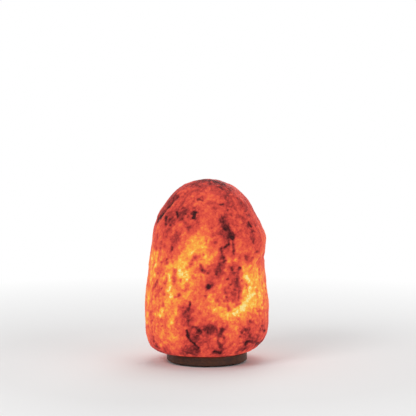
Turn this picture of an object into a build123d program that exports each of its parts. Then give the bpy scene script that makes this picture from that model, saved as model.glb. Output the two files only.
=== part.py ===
from build123d import *
import os
from math import cos, pi, radians, sin

# A salt crystal lamp: a hewn block of rock salt on a small turned wooden base. The block is drilled
# from below, and a lampholder with a lit bulb is pushed up into the drilling, held by a spring clip.
#
# Millimetres, +Z up. The origin is on the table, under the middle of the lamp. -Y is the front,
# and the cord channel in the base runs out to the back, along +Y.

# ---- driving dimensions -------------------------------------------------------------------------

CRYSTAL_HEIGHT = 248.0          # a 9 kg block; its width and depth follow from STATIONS
CORNER_POWER = 2.25             # 2 is an ellipse; above it the block's corners fill out
RIPPLE_LOW, RIPPLE_HIGH = 0.016, 0.010   # the hewn faces' unevenness, as shares of the radius

BASE_DIAMETER, BASE_THICKNESS = 116.0, 14.0
FOOT_PROUD = 2.0                # how far the rubber feet hold the wood off the table
BORE_DIAMETER, BORE_DEPTH = 55.0, 128.0  # the drilling in the salt; the wood has the same hole
BORE_END_ROUND = 14.0           # the core drill leaves the far end rounded

SCREW_CIRCLE, SCREW_ANGLES = 84.0, (0, 180, 270)   # the cord channel takes the fourth side
SCREW_SHANK, SCREW_HEAD, SCREW_LENGTH = 4.0, 8.0, 33.0
HEAD_RECESS, HEAD_RIM, SINK_PLAY = 0.1, 0.4, 0.2
PLUG_DIAMETER, PLUG_LENGTH = 8.0, 25.0

FOOT_DIAMETER, FOOT_HEIGHT, FOOT_CIRCLE = 12.0, 3.5, 96.0
FOOT_ANGLES = (45, 135, 225, 315)

CHANNEL_WIDTH, CHANNEL_DEPTH = 9.0, 9.0

HOLDER_BOTTOM = 30.0            # the closed end of the lampholder, above the table
CAP_DIAMETER, CAP_HEIGHT, CAP_FLOOR, CAP_LEDGE_WIDTH = 33.0, 26.0, 3.5, 1.6
BLOCK_DIAMETER, BLOCK_THICKNESS, BOSS_DIAMETER, BOSS_HEIGHT = 28.4, 6.0, 19.6, 6.0
SKIRT_NECK_DIAMETER, SKIRT_BORE = 28.0, 24.0
SKIRT_COLLAR, SKIRT_NECK_LENGTH = 6.0, 20.0
SHELL_BORE, SHELL_WALL, SHELL_LENGTH = 14.1, 0.5, 20.0   # the small screw socket
GLAND_FLATS, GLAND_STUB = 14.0, 10.0
CORD_BORE = 7.4                 # for a round cord of 6.5 to 7 mm

CLIP_SHEET, CLIP_WIDTH = 0.6, 14.0
NUT_DIAMETER, NUT_HEIGHT = 39.0, 5.4

BULB_DIAMETER, BULB_LENGTH, GLASS_WALL = 25.0, 58.0, 0.6
BULB_THREAD = 13.8              # over the crests of the bulb's screw cap

PLAY = 0.1                      # the least play, on the diameter, between a hole and what fills it

# ---- heights that follow ------------------------------------------------------------------------

BASE_TOP = FOOT_PROUD + BASE_THICKNESS
BORE_TOP = BASE_TOP + BORE_DEPTH
CAP_LEDGE = HOLDER_BOTTOM + 14.0                    # the ledge in the cap that the block sits on
BLOCK_TOP = CAP_LEDGE + BLOCK_THICKNESS
BOSS_TOP = BLOCK_TOP + BOSS_HEIGHT
COLLAR_BOTTOM = HOLDER_BOTTOM + CAP_HEIGHT          # the skirt screws down onto the cap's rim
COLLAR_TOP = COLLAR_BOTTOM + SKIRT_COLLAR
CLIP_TOP = COLLAR_TOP + CLIP_SHEET
BULB_TIP = BOSS_TOP + 4.0                           # where the bulb's contact meets the tongue

# The block's outline, from the flat cut at its foot to the crown: height above the cut, then the
# half widths to the left, right, front and back. The sides bulge near the foot and draw in at mid
# height. A shoulder swells high on the right, and the top closes in a dome.
STATIONS = (
    (0.0, 72.0, 58.5, 63.0, 60.0),
    (8.0, 82.0, 73.5, 72.0, 69.5),
    (22.0, 88.0, 84.5, 78.0, 76.5),
    (44.0, 90.0, 88.5, 80.5, 79.5),
    (88.0, 89.0, 87.0, 80.0, 80.0),
    (121.0, 84.6, 82.2, 77.5, 78.0),
    (144.0, 81.8, 82.8, 76.0, 76.0),
    (166.0, 79.2, 83.8, 74.0, 74.5),
    (183.0, 76.2, 77.4, 71.0, 71.5),
    (199.0, 69.8, 68.6, 65.5, 65.5),
    (216.0, 58.6, 59.4, 55.5, 56.0),
    (231.0, 46.0, 46.5, 42.0, 43.0),
    (241.0, 30.5, 30.0, 27.0, 27.5),
    (246.5, 12.3, 12.1, 10.8, 11.2),
)

STATION_POINTS = 16             # points that the spline of one section passes through

MIN_Z = (Align.CENTER, Align.CENTER, Align.MIN)
MAX_Z = (Align.CENTER, Align.CENTER, Align.MAX)


def rod(diameter, bottom, top, at=(0, 0)):
    """A round bar standing at a place, between two heights."""
    return Pos(at[0], at[1], bottom) * Cylinder(diameter / 2, top - bottom, align=MIN_Z)


def turned(*profile):
    """A turned solid from the (radius, height) corners of its half section."""
    outline = Polyline(*[(r, 0, z) for r, z in profile], close=True)
    return revolve(make_face(outline), Axis.Z)


def around(diameter, angles):
    """The (x, y) places at these angles on a circle."""
    return [(diameter / 2 * cos(radians(a)), diameter / 2 * sin(radians(a))) for a in angles]


def fluted(solid, diameter, count, depth, bottom, top):
    """Cuts evenly spaced round flutes down the outside of a turned solid, for fingers to grip."""
    groove = 2.4
    ring = around(diameter + groove - 2 * depth, [360 * i / count for i in range(count)])
    return solid - [rod(groove, bottom, top, at) for at in ring]


# ---- the rock salt and its base -----------------------------------------------------------------

def station_outline(height, left, right, front, back):
    """One level section of the block: a filled-out ellipse with a half width of its own on each side.

    Two slow ripples, which turn as they climb, make its front and back uneven.
    """
    climb = height / CRYSTAL_HEIGHT
    points = []
    for i in range(STATION_POINTS):
        a = 2 * pi * i / STATION_POINTS
        half_x = right if cos(a) >= 0 else left
        half_y = back if sin(a) >= 0 else front
        reach = abs(cos(a) / half_x) ** CORNER_POWER + abs(sin(a) / half_y) ** CORNER_POWER
        ripple = RIPPLE_LOW * sin(3 * a + 4.0 * climb) + RIPPLE_HIGH * sin(5 * a - 6.0 * climb + 1.0)
        radius = reach ** (-1 / CORNER_POWER) * (1 + ripple * sin(a) ** 2)
        points.append(Vector(radius * cos(a), radius * sin(a), BASE_TOP + height))
    return Wire([Edge.make_spline(points, periodic=True)])


def crystal_block():
    """The block before it is drilled, with its outline centred over the base."""
    sections = [station_outline(*station) for station in STATIONS]
    block = Solid.make_loft([*sections, Vertex(0, 0, BASE_TOP + CRYSTAL_HEIGHT)], False)
    middle = block.bounding_box().center()
    return Pos(-middle.X, -middle.Y, 0) * block


def salt_crystal():
    """The block with its drilling, and the holes for the plugs that its base is screwed to."""
    bore = rod(BORE_DIAMETER, BASE_TOP, BORE_TOP)
    bore = fillet(bore.edges().sort_by(Axis.Z)[-1], BORE_END_ROUND)
    crystal = crystal_block() - bore
    for at in around(SCREW_CIRCLE, SCREW_ANGLES):
        crystal -= rod(PLUG_DIAMETER + PLAY, BASE_TOP, BASE_TOP + PLUG_LENGTH + 2.0, at)
    return crystal


def wood_base():
    """The turned disc, with its centre hole, countersunk screw holes and the routed cord channel."""
    disc = rod(BASE_DIAMETER, FOOT_PROUD, BASE_TOP)
    disc = fillet(disc.edges().sort_by(Axis.Z)[-1], 3.0)
    disc = chamfer(disc.edges().sort_by(Axis.Z)[0], 1.5)
    disc -= rod(BORE_DIAMETER, FOOT_PROUD, BASE_TOP)
    disc -= cord_channel()
    for x, y in around(SCREW_CIRCLE, SCREW_ANGLES):
        sink, lip = SCREW_HEAD / 2 + SINK_PLAY, FOOT_PROUD + HEAD_RECESS + HEAD_RIM - SINK_PLAY
        disc -= rod(SCREW_SHANK + 0.5, FOOT_PROUD, BASE_TOP, (x, y))
        disc -= rod(2 * sink, FOOT_PROUD, lip, (x, y))
        disc -= Pos(x, y, lip) * Cone(sink, 0, sink, align=MIN_Z)
    for at in around(FOOT_CIRCLE, FOOT_ANGLES):
        disc -= rod(FOOT_DIAMETER + 2 * PLAY, FOOT_PROUD, FOOT_HEIGHT, at)
    return disc


def cord_channel():
    """The routed channel under the base: flat sided, with a half round top, out to the back."""
    spring = FOOT_PROUD + CHANNEL_DEPTH - CHANNEL_WIDTH / 2
    arch = rod(CHANNEL_WIDTH, 0, BASE_DIAMETER).rotate(Axis.X, -90)
    sides = Box(CHANNEL_WIDTH, BASE_DIAMETER, spring, align=(Align.CENTER, Align.MIN, Align.MIN))
    return Pos(0, 0, spring) * arch + sides


def base_screws():
    """Three countersunk screws, driven up through the wood into the plugs."""
    head, shank, point = SCREW_HEAD / 2, SCREW_SHANK / 2, 4.0
    bottom, top = FOOT_PROUD + HEAD_RECESS, FOOT_PROUD + HEAD_RECESS + SCREW_LENGTH
    screw = turned((0, bottom), (head, bottom), (head, bottom + HEAD_RIM),
                   (shank, bottom + HEAD_RIM + head - shank), (shank, top - point), (0.3, top), (0, top))
    for turn in (0, 90):
        screw -= Rot(0, 0, turn) * Pos(0, 0, bottom) * Box(4.6, 0.9, 1.9, align=MIN_Z)
    return Compound([Pos(x, y, 0) * screw for x, y in around(SCREW_CIRCLE, SCREW_ANGLES)])


def screw_plugs():
    """The nylon plugs in the salt: ribbed sleeves that the screws spread."""
    outer, inner = PLUG_DIAMETER / 2, SCREW_SHANK / 2 + 0.05
    bottom, top = BASE_TOP + 0.2, BASE_TOP + PLUG_LENGTH
    ribs, pitch, groove = 5, 3.4, 0.5
    plug = rod(2 * outer, bottom, top) - rod(2 * inner, bottom, top - 2.0)
    ring = turned((outer - groove, 0), (outer + 1, 0), (outer + 1, 1.6), (outer - groove, 0.8))
    for i in range(ribs):
        plug -= Pos(0, 0, bottom + 4.0 + pitch * i) * ring
    plug -= Pos(0, 0, top - 16.0) * Box(1.0, 2 * outer + 1, 16.0, align=MIN_Z)
    return Compound([Pos(x, y, 0) * plug for x, y in around(SCREW_CIRCLE, SCREW_ANGLES)])


def rubber_feet():
    """Four tapered bumper feet, pressed into shallow recesses in the wood."""
    outer, sole = FOOT_DIAMETER / 2, FOOT_DIAMETER / 2 - 1.0
    foot = turned((0, 0), (sole - 0.6, 0), (sole, 0.4), (outer, FOOT_PROUD), (outer, FOOT_HEIGHT),
                  (0, FOOT_HEIGHT))
    return Compound([Pos(x, y, 0) * foot for x, y in around(FOOT_CIRCLE, FOOT_ANGLES)])


# ---- the lampholder -----------------------------------------------------------------------------

def cord_gland():
    """The threaded cord inlet: a hexagon under the cap, and a stub that screws into it."""
    height, side_hole = 7.0, 3.6
    bottom, corner = HOLDER_BOTTOM - height, GLAND_FLATS / 2 * 1.155
    gland = Pos(0, 0, bottom) * extrude(RegularPolygon(GLAND_FLATS / 2, 6, False, rotation=30), height)
    gland &= turned((0, bottom), (corner - 1.0, bottom), (corner, bottom + 1.0), (corner, HOLDER_BOTTOM),
                    (0, HOLDER_BOTTOM))
    gland += rod(GLAND_STUB, HOLDER_BOTTOM, HOLDER_BOTTOM + CAP_FLOOR + 2.0)
    gland -= rod(CORD_BORE, bottom, HOLDER_BOTTOM + CAP_FLOOR + 2.0)
    return gland - Pos(0, 0, bottom + height / 2) * rod(side_hole, 0, 10.0).rotate(Axis.Y, 90)


def cord_grip_screw():
    """The nylon screw in the gland's side that pinches the cord."""
    length, head = 3.0, 1.6
    screw = rod(3.5, 0, length) + rod(5.2, length, length + head)
    screw -= Pos(0, 0, length + 0.7) * Box(5.4, 0.8, head, align=MIN_Z)
    return Pos(CORD_BORE / 2 + 0.5, 0, HOLDER_BOTTOM - 3.5) * screw.rotate(Axis.Y, 90)


def holder_cap():
    """The moulded cap that closes the lampholder over its terminals."""
    seat = BLOCK_DIAMETER + 3 * PLAY
    cap = rod(CAP_DIAMETER, HOLDER_BOTTOM, COLLAR_BOTTOM)
    cap = chamfer(cap.edges().sort_by(Axis.Z)[0], 3.5, 2.5)
    cap -= rod(seat - 2 * CAP_LEDGE_WIDTH, HOLDER_BOTTOM + CAP_FLOOR, CAP_LEDGE)
    cap -= rod(seat, CAP_LEDGE, COLLAR_BOTTOM)
    cap -= rod(GLAND_STUB + PLAY, HOLDER_BOTTOM, HOLDER_BOTTOM + CAP_FLOOR)
    return fluted(cap, CAP_DIAMETER, 18, 0.5, HOLDER_BOTTOM + 6.0, COLLAR_BOTTOM - 2.0)


TERMINALS = ((-7.0, -5.0), (7.0, 8.2))   # each terminal's x, and its stud's x
TERMINAL_HEIGHT, STUD_DIAMETER = 8.0, 2.4
TERMINAL_MIDDLE = CAP_LEDGE - 4.5         # the height of a terminal's wire hole and screw


def contact_block():
    """The ceramic block that carries the contacts, clamped between the cap and the skirt."""
    block = rod(BLOCK_DIAMETER, CAP_LEDGE, BLOCK_TOP)
    block += rod(BOSS_DIAMETER, BLOCK_TOP, BOSS_TOP)
    for _, stud in TERMINALS:
        block -= rod(STUD_DIAMETER + 2 * PLAY, CAP_LEDGE, BOSS_TOP, (stud, 0))
    return block


def terminals():
    """Two brass terminals under the block, with studs up to the contacts."""
    made = []
    for x, stud in TERMINALS:
        inward = 1 if x < 0 else -1
        wire_hole = Cylinder(1.4, TERMINAL_HEIGHT).rotate(Axis.X, 90)
        screw_hole = Cylinder(1.35, 4, align=MIN_Z).rotate(Axis.Y, -90 * inward)
        body = Pos(x, 0, CAP_LEDGE) * Box(6.0, 7.0, TERMINAL_HEIGHT, align=MAX_Z)
        body -= Pos(x, 0, TERMINAL_MIDDLE) * (wire_hole + screw_hole)
        made.append(body + rod(STUD_DIAMETER, CAP_LEDGE, BOSS_TOP, (stud, 0)))
    return Compound(made)


def terminal_screws():
    """A cheese head screw in the outer side of each terminal."""
    screw = Cylinder(1.3, 2.6, align=MIN_Z) + Pos(0, 0, 2.6) * Cylinder(2.1, 1.5, align=MIN_Z)
    screw -= Pos(0, 0, 3.3) * Box(4.4, 0.7, 1.0, align=MIN_Z)
    made = []
    for x, _ in TERMINALS:
        side = 1 if x > 0 else -1
        made.append(Pos(x + 0.5 * side, 0, TERMINAL_MIDDLE) * screw.rotate(Axis.Y, 90 * side))
    return Compound(made)


def holder_skirt():
    """The moulded skirt round the bulb's cap: it screws into the holder cap, and its neck takes the nut."""
    spigot = BLOCK_DIAMETER / 2
    neck, collar = SKIRT_NECK_DIAMETER / 2, CAP_DIAMETER / 2
    top = COLLAR_TOP + SKIRT_NECK_LENGTH
    skirt = turned((0, BLOCK_TOP), (spigot, BLOCK_TOP), (spigot, COLLAR_BOTTOM), (collar, COLLAR_BOTTOM),
                   (collar, COLLAR_TOP), (neck, COLLAR_TOP), (neck, top - 0.8), (neck - 0.8, top), (0, top))
    skirt -= rod(SKIRT_BORE, BLOCK_TOP, top)
    return fluted(skirt, CAP_DIAMETER, 20, 0.5, COLLAR_BOTTOM, COLLAR_TOP)


def screw_shell():
    """The brass sleeve that the bulb screws into, with a flange on the block's boss."""
    bore, outer = SHELL_BORE / 2, SHELL_BORE / 2 + SHELL_WALL
    top = BOSS_TOP + SHELL_LENGTH
    return turned((bore, BOSS_TOP), (outer + 1.9, BOSS_TOP), (outer + 1.9, BOSS_TOP + SHELL_WALL),
                  (outer, BOSS_TOP + SHELL_WALL), (outer, top), (bore, top))


def centre_contact():
    """The brass tongue that springs up against the bulb's tip."""
    sheet = 0.4
    start = BOSS_TOP + sheet / 2
    path = FilletPolyline((-6.2, 0, start), (-2.6, 0, start), (0.4, 0, BULB_TIP - 0.5),
                          (3.0, 0, BULB_TIP - 1.2), radius=1.2)
    section = Plane(origin=path @ 0, z_dir=path % 0, x_dir=(0, 1, 0)) * Rectangle(4.6, sheet)
    return sweep(section, path)


def spring_clip():
    """The pressed steel clip: a washer with two sprung leaves that hold the holder in the drilling."""
    middle = COLLAR_TOP + CLIP_SHEET / 2
    washer = rod(38.0, COLLAR_TOP, CLIP_TOP)
    path = FilletPolyline((16.6, 0, middle), (21.4, 0, middle), (26.0, 0, middle - 14.0),
                          (25.4, 0, middle - 22.0), (19.6, 0, middle - 33.0), (21.8, 0, middle - 37.5),
                          radius=(2.2, 9.0, 9.0, 2.2))
    section = Plane(origin=path @ 0, z_dir=path % 0, x_dir=(0, 1, 0)) * Rectangle(CLIP_WIDTH, CLIP_SHEET)
    leaf = sweep(section, path)
    clip = washer + leaf + leaf.rotate(Axis.Z, 180)
    return clip - rod(SKIRT_NECK_DIAMETER + 2 * PLAY, COLLAR_TOP, CLIP_TOP)


def clip_nut():
    """The moulded ring nut that clamps the clip on the skirt's neck."""
    nut = rod(NUT_DIAMETER, CLIP_TOP, CLIP_TOP + NUT_HEIGHT)
    nut = chamfer(nut.edges().sort_by(Axis.Z)[-1], 0.8)
    nut -= rod(SKIRT_NECK_DIAMETER + 2 * PLAY, CLIP_TOP, CLIP_TOP + NUT_HEIGHT)
    return fluted(nut, NUT_DIAMETER, 24, 0.6, CLIP_TOP, CLIP_TOP + NUT_HEIGHT)


# ---- the bulb -----------------------------------------------------------------------------------

CAP_START = BULB_TIP + 4.6       # the lower rim of the bulb's metal cap
CAP_FLARE = CAP_START + 12.0
CAP_END = CAP_FLARE + 6.0
CAP_WALL, CAP_MOUTH, CAP_LIP = 0.35, 5.75, 8.3   # its sheet, then the radii of its two ends
BULB_TOP = BULB_TIP + BULB_LENGTH
GLASS_BOTTOM = CAP_FLARE - 2.0
NECK_DIAMETER = 12.6
PRESS_TOP = CAP_END + 12.0       # the flat pinch of the stem, where the wires are sealed in
FILAMENT_Z = CAP_END + 19.0


def bulb_contact():
    """The solder button on the bulb's tip."""
    button = rod(4.6, BULB_TIP, BULB_TIP + 1.2)
    return fillet(button.edges().sort_by(Axis.Z)[0], 0.8)


def bulb_insulator():
    """The black glass cone between the tip and the screw cap."""
    seat, top = BULB_TIP + 1.2, CAP_START + 0.8
    return turned((0, seat), (3.0, seat), (5.6, CAP_START - 1.4), (5.6, top), (0, top))


def bulb_cap():
    """The bulb's plated screw cap, flared at the top round the neck of the glass."""
    crest, wall, lip_start = BULB_THREAD / 2, CAP_WALL, CAP_FLARE + 2.0
    floor = CAP_START + 0.9
    outer = [(CAP_MOUTH, CAP_START), (crest - 0.5, CAP_START), (crest, CAP_START + 0.6), (crest, CAP_FLARE),
             (CAP_LIP - 0.1, lip_start), (CAP_LIP, CAP_END)]
    inner = [(CAP_LIP - wall, CAP_END), (CAP_LIP - 0.1 - wall, lip_start + wall),
             (crest - wall, CAP_FLARE + wall), (crest - wall, floor), (CAP_MOUTH, floor)]
    return turned(*outer, *inner)


def glass_solid(inset):
    """The envelope's outside, or its inside when it is drawn in by the wall."""
    neck, belly = NECK_DIAMETER / 2 - inset, BULB_DIAMETER / 2 - inset
    bottom, top = GLASS_BOTTOM + inset, BULB_TOP - inset
    flare_start, flare_end, crown = CAP_END + 1.0, CAP_END + 12.0, top - belly
    middle = ((neck + belly) / 2, 0, (flare_start + flare_end) / 2)
    outline = Polyline((0, 0, top), (0, 0, bottom), (neck, 0, bottom), (neck, 0, flare_start))
    outline += TangentArc((neck, 0, flare_start), middle, tangent=(0, 0, 1))
    outline += TangentArc((belly, 0, flare_end), middle, tangent=(0, 0, -1))
    outline += Line((belly, 0, flare_end), (belly, 0, crown))
    outline += TangentArc((belly, 0, crown), (0, 0, top), tangent=(0, 0, 1))
    return revolve(make_face(outline), Axis.Z)


def bulb_glass():
    """The hollow glass envelope: a dome and a straight belly, drawn in to the neck."""
    return glass_solid(0) - glass_solid(GLASS_WALL)


def bulb_stem():
    """The glass stem inside the bulb: a flared tube that ends in a flat press."""
    foot = GLASS_BOTTOM + GLASS_WALL
    tube = turned((0, foot), (5.4, foot), (3.2, foot + 4.0), (2.0, foot + 9.0), (2.0, PRESS_TOP - 5.0),
                  (0, PRESS_TOP - 5.0))
    press = Pos(0, 0, PRESS_TOP) * Box(7.6, 2.2, 6.0, align=MAX_Z)
    return tube + fillet(press.edges().filter_by(Axis.Z), 0.7)


LEAD_X = 2.6


def bulb_wires():
    """The two lead wires from the press, and the two fine supports between them."""
    made = []
    for side in (-1, 1):
        lead = FilletPolyline((LEAD_X * side, 0, PRESS_TOP), (LEAD_X * side, 0, PRESS_TOP + 2.5),
                              (7.2 * side, 0, FILAMENT_Z), radius=2.0)
        made.append(sweep(Plane(origin=lead @ 0, z_dir=lead % 0) * Circle(0.3), lead))
        made.append(rod(0.4, PRESS_TOP, FILAMENT_Z + 3.2, (0, 0.8 * side)))
    return Compound(made)


def bulb_filament():
    """The coil between the lead wires, as the slim rod that it fills: it rises over the supports."""
    path = ThreePointArc((-6.6, 0, FILAMENT_Z + 0.5), (0, 0, FILAMENT_Z + 4.0), (6.6, 0, FILAMENT_Z + 0.5))
    return sweep(Plane(origin=path @ 0, z_dir=path % 0) * Circle(0.45), path)


def cap_cement():
    """The ring of cement that holds the glass in its metal cap."""
    glass, cap = NECK_DIAMETER / 2 + 0.02, CAP_LIP - 0.1 - CAP_WALL - 0.05
    bottom, top = CAP_FLARE + 2.4, CAP_END - 0.4
    return turned((glass, bottom), (cap, bottom), (cap, top), (glass, top))


NODES = {
    "salt_crystal": salt_crystal,
    "wood_base": wood_base,
    "base_screws": base_screws,
    "screw_plugs": screw_plugs,
    "rubber_feet": rubber_feet,
    "cord_gland": cord_gland,
    "cord_grip_screw": cord_grip_screw,
    "holder_cap": holder_cap,
    "contact_block": contact_block,
    "terminals": terminals,
    "terminal_screws": terminal_screws,
    "holder_skirt": holder_skirt,
    "screw_shell": screw_shell,
    "centre_contact": centre_contact,
    "spring_clip": spring_clip,
    "clip_nut": clip_nut,
    "bulb_contact": bulb_contact,
    "bulb_insulator": bulb_insulator,
    "bulb_cap": bulb_cap,
    "cap_cement": cap_cement,
    "bulb_glass": bulb_glass,
    "bulb_stem": bulb_stem,
    "bulb_wires": bulb_wires,
    "bulb_filament": bulb_filament,
}

if __name__ == "__main__":
    os.makedirs("parts", exist_ok=True)
    for name, make in NODES.items():
        export_step(make(), f"parts/{name}.step")
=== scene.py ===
# %% [markdown]
# # A lit salt crystal lamp
# The lamp is a rough block of rock salt on a small dark wooden base. A bulb inside the block lights it
# from within, so nearly everything that is seen is light that has come through salt: yellow where the
# salt is thin or clear, red where it is thick, and dark where clay is caught in it. This script dresses
# the construction model: it makes the block, the threads and the filament as meshes of their own, and
# gives every other piece its finish.
#
# Its own box is kept.

# %% Load the construction model
from functools import cached_property
from math import cos, pi, radians, sin

import bpy
import numpy as np
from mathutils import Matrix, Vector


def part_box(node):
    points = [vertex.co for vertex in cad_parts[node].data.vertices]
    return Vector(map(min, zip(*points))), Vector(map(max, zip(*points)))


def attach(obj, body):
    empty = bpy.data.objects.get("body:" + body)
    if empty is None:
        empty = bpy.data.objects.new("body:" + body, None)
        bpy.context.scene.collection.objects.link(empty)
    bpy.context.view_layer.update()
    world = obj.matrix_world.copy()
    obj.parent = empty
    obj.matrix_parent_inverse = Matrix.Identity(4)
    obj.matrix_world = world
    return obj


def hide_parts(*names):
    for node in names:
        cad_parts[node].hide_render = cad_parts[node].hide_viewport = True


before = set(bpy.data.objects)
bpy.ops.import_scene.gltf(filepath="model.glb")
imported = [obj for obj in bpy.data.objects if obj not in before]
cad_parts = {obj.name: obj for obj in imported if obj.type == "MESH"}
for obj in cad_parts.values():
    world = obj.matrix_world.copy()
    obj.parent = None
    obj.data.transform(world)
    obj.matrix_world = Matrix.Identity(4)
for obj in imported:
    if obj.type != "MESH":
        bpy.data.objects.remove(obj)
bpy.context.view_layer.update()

MM = 0.001
TURN = 2 * pi

# %% [markdown]
# ## Surfaces from arrays
# Every new piece is a surface worked out with numpy: a grid of points, whose rows run along the piece
# and whose columns run round it. One function works out such points, one makes a piece from points and
# faces, and one turns any such grid into a closed mesh. The last column joins the first, and each end row
# is a pole: all its points are one point. The order of the corners decides which way a face looks, so the
# last function measures the volume and turns the faces outwards.

# %% A closed mesh from a grid of points
def around(radius, angle, height):
    """Points (x, y, z) = (r cos a, r sin a, h) for arrays of radius r, angle a and height h."""
    return np.stack(np.broadcast_arrays(radius * np.cos(angle), radius * np.sin(angle), height), axis=-1)


def mesh_piece(name, points, faces):
    """A smooth piece from an array of points in metres and a list of faces, each its points' numbers."""
    mesh = bpy.data.meshes.new(name)
    mesh.from_pydata(points.tolist(), [], faces)
    mesh.polygons.foreach_set("use_smooth", np.ones(len(faces), dtype=bool))
    piece = bpy.data.objects.new(name, mesh)
    bpy.context.collection.objects.link(piece)
    print(name, "has", len(points), "points")
    return piece


def round_mesh(name, grid):
    """A closed mesh from grid[row, column] = (x, y, z) in metres: columns go round, end rows are poles."""
    rows, columns, _ = grid.shape
    ring = np.arange(columns)
    after = np.roll(ring, -1)
    start = 1 + np.arange(rows - 3)[:, None] * columns
    below = start + columns
    quads = np.stack([start + ring, start + after, below + after, below + ring], axis=-1).reshape(-1, 4)
    last = 1 + (rows - 2) * columns
    first_fan = np.stack([np.zeros_like(ring), 1 + after, 1 + ring], axis=-1)
    last_fan = np.stack([np.full_like(ring, last), last - columns + ring, last - columns + after], axis=-1)
    points = np.concatenate([grid[:1, 0], grid[1:-1].reshape(-1, 3), grid[-1:, 0]])
    faces = [*first_fan.tolist(), *quads.tolist(), *last_fan.tolist()]
    triangles = points[np.concatenate([first_fan, quads[:, :3], quads[:, [0, 2, 3]], last_fan])]
    if np.einsum("ij,ij->", triangles[:, 0], np.cross(triangles[:, 1], triangles[:, 2])) < 0:
        faces = [face[::-1] for face in faces]
    return mesh_piece(name, points, faces)


def point_attribute(piece, name, values):
    """Stores one number for each point of a round mesh, given as a grid of rows and columns."""
    flat = np.concatenate([values[:1, 0], values[1:-1].ravel(), values[-1:, 0]])
    piece.data.attributes.new(name, "FLOAT", "POINT").data.foreach_set("value", flat.astype(np.float32))


# %% [markdown]
# ## Noise in space
# Salt grew and was broken without a pattern, so its shape and its colour both need noise. Value noise is
# the plainest kind: a random number at each corner of a lattice of cells, blended smoothly inside the
# cell. Several sizes of it added up make a cloud. The numbers come from a seeded generator, so that the
# block is the same on every run.

# %% Value noise and clouds
LATTICE = 24
LATTICE_SHIFT = LATTICE * 100 + 0.37      # keeps every place positive, and off the lattice's corners


def value_noise(points, cell, seed):
    """From -1 to 1: random values on a lattice of this cell size, blended by 3t²-2t³ inside a cell."""
    table = np.random.default_rng(seed).uniform(-1, 1, (LATTICE, LATTICE, LATTICE))
    place = points / np.asarray(cell) + LATTICE_SHIFT
    low = np.floor(place).astype(int)
    share = place - low
    share = share * share * (3 - 2 * share)
    total = np.zeros(points.shape[:-1])
    for corner in np.ndindex(2, 2, 2):
        index = (low + corner) % LATTICE
        weight = np.prod(np.where(corner, share, 1 - share), axis=-1)
        total += weight * table[index[..., 0], index[..., 1], index[..., 2]]
    return total


def cloud(points, cell, seed, sizes=3):
    """Value noise added up: each size is half as large and half as strong as the one before."""
    cell = np.asarray(cell, dtype=float)
    parts = [value_noise(points, cell / 2 ** k, seed + k) / 2 ** k for k in range(sizes)]
    return sum(parts) / (2 - 2 ** (1 - sizes))


def smooth_step(low, high, value):
    """0 below low, 1 above high, and the curve 3t²-2t³ between them."""
    t = np.clip((value - low) / (high - low), 0, 1)
    return t * t * (3 - 2 * t)


# %% [markdown]
# ## The block's main form
# The block stands on a flat cut. Its sides bulge low down, draw in at mid height and swell to a shoulder
# high on the right, and its top closes in a dome. Fourteen levels with their own half widths are enough
# to say that, with a smooth curve through them. The curve is followed by the length along the side, not
# by height, because at the crown the height hardly changes while the width runs out to nothing.
#
# Each level is a filled-out ellipse, |x/a|^p + |y/b|^p = 1, whose half widths differ on its four sides.

# %% Levels of the block, and a smooth curve through them
crystal_low, crystal_high = (np.array(corner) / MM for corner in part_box("salt_crystal"))
FOOT_CUT = crystal_low[2]
CORNER_POWER = 2.25
RIPPLE_LOW, RIPPLE_HIGH = 0.016, 0.010
LEAST_WIDTH = 1e-6          # in place of 0 at the crown
# height above the flat cut, then half widths to the left, right, front and back, in mm
LEVELS = np.array([
    (0.0, 72.0, 58.5, 63.0, 60.0),
    (8.0, 82.0, 73.5, 72.0, 69.5),
    (22.0, 88.0, 84.5, 78.0, 76.5),
    (44.0, 90.0, 88.5, 80.5, 79.5),
    (88.0, 89.0, 87.0, 80.0, 80.0),
    (121.0, 84.6, 82.2, 77.5, 78.0),
    (144.0, 81.8, 82.8, 76.0, 76.0),
    (166.0, 79.2, 83.8, 74.0, 74.5),
    (183.0, 76.2, 77.4, 71.0, 71.5),
    (199.0, 69.8, 68.6, 65.5, 65.5),
    (216.0, 58.6, 59.4, 55.5, 56.0),
    (231.0, 46.0, 46.5, 42.0, 43.0),
    (241.0, 30.5, 30.0, 27.0, 27.5),
    (248.0, 0.0, 0.0, 0.0, 0.0),
])


def curve_through(knots, values, at):
    """A cubic through the values at uneven knots. Its slope at a knot is the mean of those beside it."""
    steps = np.diff(values, axis=0) / np.diff(knots)[:, None]
    slopes = np.concatenate([steps[:1], (steps[1:] + steps[:-1]) / 2, steps[-1:]])
    slopes[-1, 0] = 0.0        # the crown is level
    piece = np.clip(np.searchsorted(knots, at, side="right") - 1, 0, len(knots) - 2)
    width = (knots[piece + 1] - knots[piece])[:, None]
    t = (at[:, None] - knots[piece][:, None]) / width
    rise, fall = t * t * (3 - 2 * t), 1 - t * t * (3 - 2 * t)
    return (fall * values[piece] + rise * values[piece + 1]
            + width * (t * (1 - t) ** 2 * slopes[piece] - t * t * (1 - t) * slopes[piece + 1]))


def level_outlines(levels, angles):
    """Points (x, y, z) of each level at each angle: the filled-out ellipse, with two slow ripples."""
    height, left, right, front, back = (levels[:, k, None] for k in range(5))
    half_x = np.where(np.cos(angles) >= 0, right, left) + LEAST_WIDTH
    half_y = np.where(np.sin(angles) >= 0, back, front) + LEAST_WIDTH
    reach = (np.abs(np.cos(angles) / half_x) ** CORNER_POWER
             + np.abs(np.sin(angles) / half_y) ** CORNER_POWER)
    climb = height / LEVELS[-1, 0]
    ripple = RIPPLE_LOW * np.sin(3 * angles + 4 * climb) + RIPPLE_HIGH * np.sin(5 * angles - 6 * climb + 1)
    radius = reach ** (-1 / CORNER_POWER) * (1 + ripple * np.sin(angles) ** 2)
    return around(radius, angles, FOOT_CUT + height)


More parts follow.
